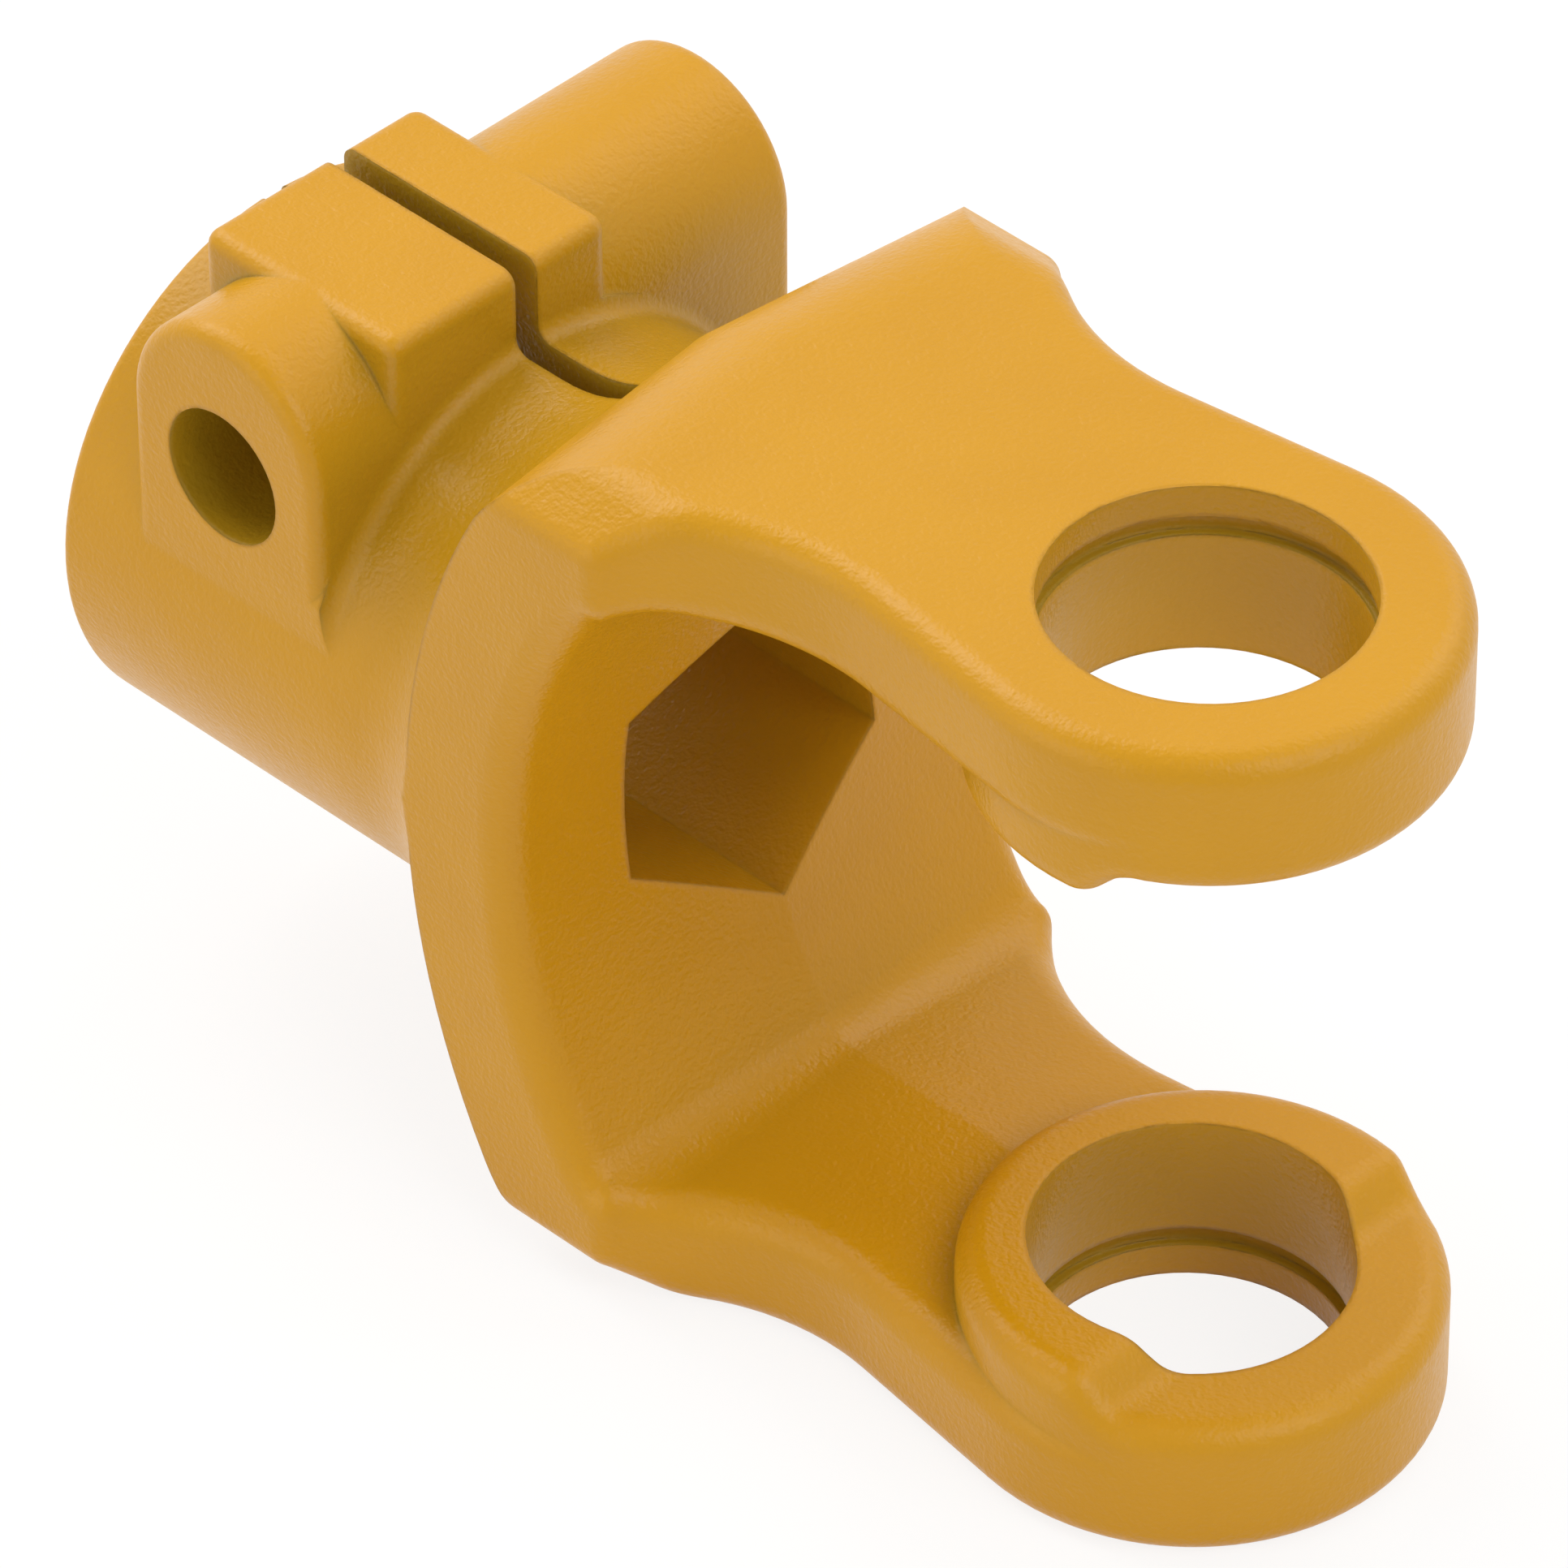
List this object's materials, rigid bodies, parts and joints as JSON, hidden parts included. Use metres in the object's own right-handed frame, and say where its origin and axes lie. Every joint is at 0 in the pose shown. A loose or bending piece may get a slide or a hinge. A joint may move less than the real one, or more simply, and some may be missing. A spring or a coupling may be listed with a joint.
{
  "type": "forged yoke",
  "caption": "Forged driveline yoke: forked ears with aligned cross bores, a curved throat and a split hub with a hex bore, clamped by a cross bolt.",
  "frame": {"origin": "centre of the universal joint: where the axis of the ear bores meets the axis of the shaft", "axes": "+Z along the ear bores, towards the ear on the side of the clamp block; +X along the shaft axis, from the hub to the tips of the ears; +Y to the side of the longer bolt boss"},
  "size_m": [0.1271, 0.0582, 0.083],
  "materials": {
    "painted_forging": "yellow-orange paint with a slight sheen over a forged surface"
  },
  "bodies": {
    "root": {"yoke": "painted_forging"}
  },
  "joints": []
}
